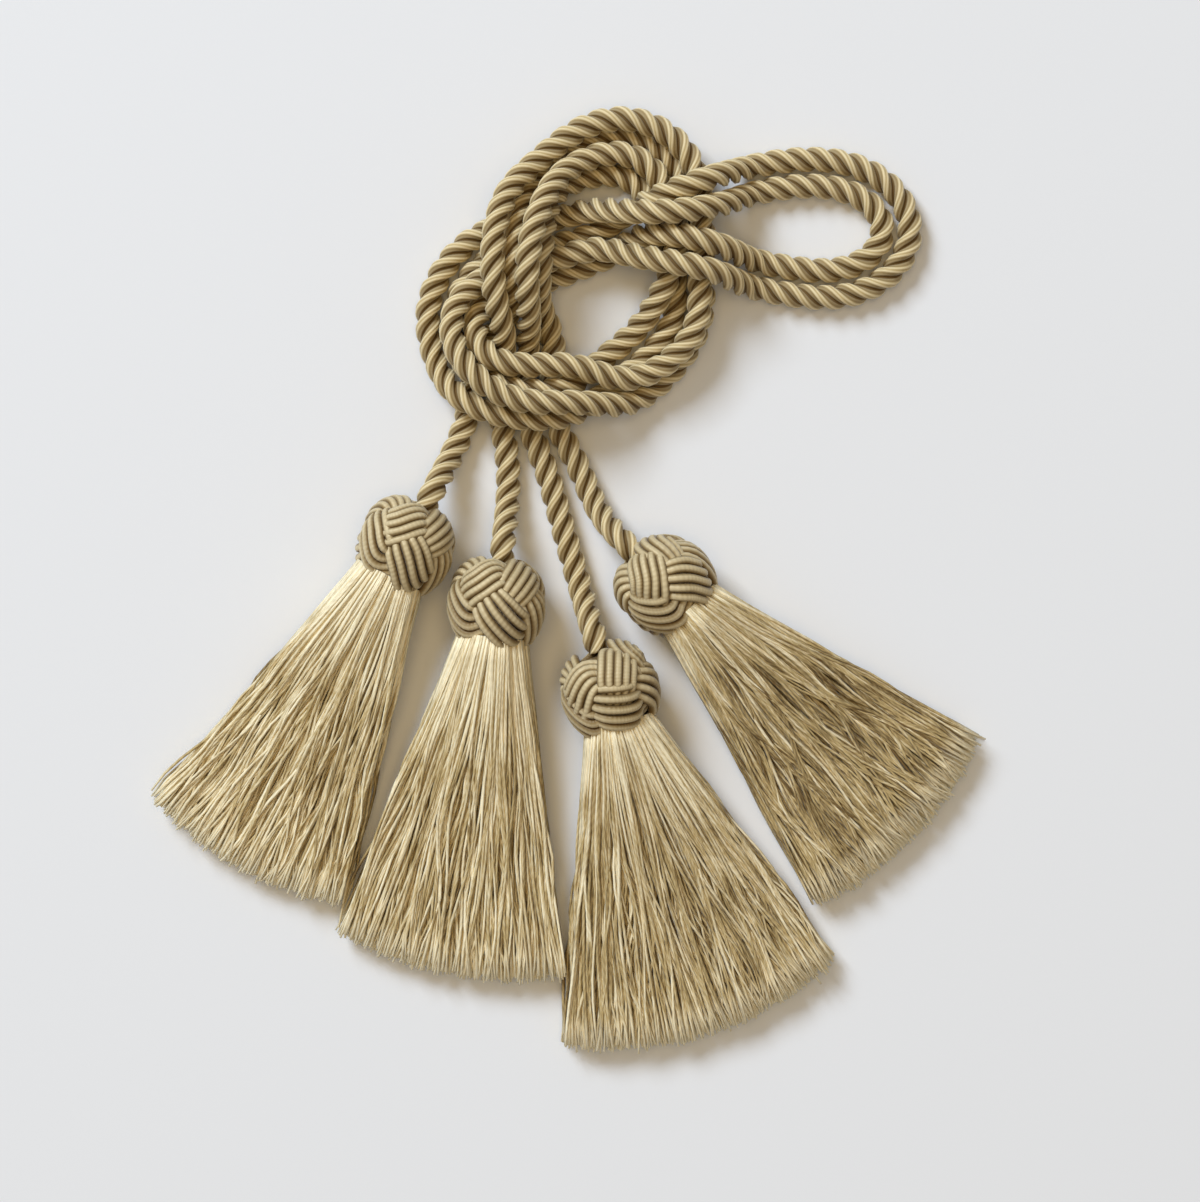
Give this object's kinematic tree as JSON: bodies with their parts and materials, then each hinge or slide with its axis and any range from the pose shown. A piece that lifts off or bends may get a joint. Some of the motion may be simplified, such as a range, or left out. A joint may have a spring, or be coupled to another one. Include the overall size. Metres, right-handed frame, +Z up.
{
  "type": "curtain tieback tassel",
  "caption": "Curtain tieback: two twisted ropes laid double, tied in an overhand knot with a hanging loop, and a woven-headed tassel on each end",
  "frame": {"origin": "on the surface that the tieback lies on, under the middle of the box round the four tassels' heads and skirts", "axes": "+Z up from that surface, +X the way the hanging loop points, +Y from the skirts towards the knot"},
  "size_m": [0.229, 0.2635, 0.0269],
  "materials": {
    "rope_yarn": "twisted satin yarn",
    "head_yarn": "plaited gimp cord",
    "skirt_yarn": "cut satin yarn"
  },
  "bodies": {
    "root": {"rope_a": "rope_yarn", "rope_b": "rope_yarn", "head_1": "head_yarn", "head_2": "head_yarn", "head_3": "head_yarn", "head_4": "head_yarn", "skirt_1": "skirt_yarn", "skirt_2": "skirt_yarn", "skirt_3": "skirt_yarn", "skirt_4": "skirt_yarn"}
  },
  "joints": []
}
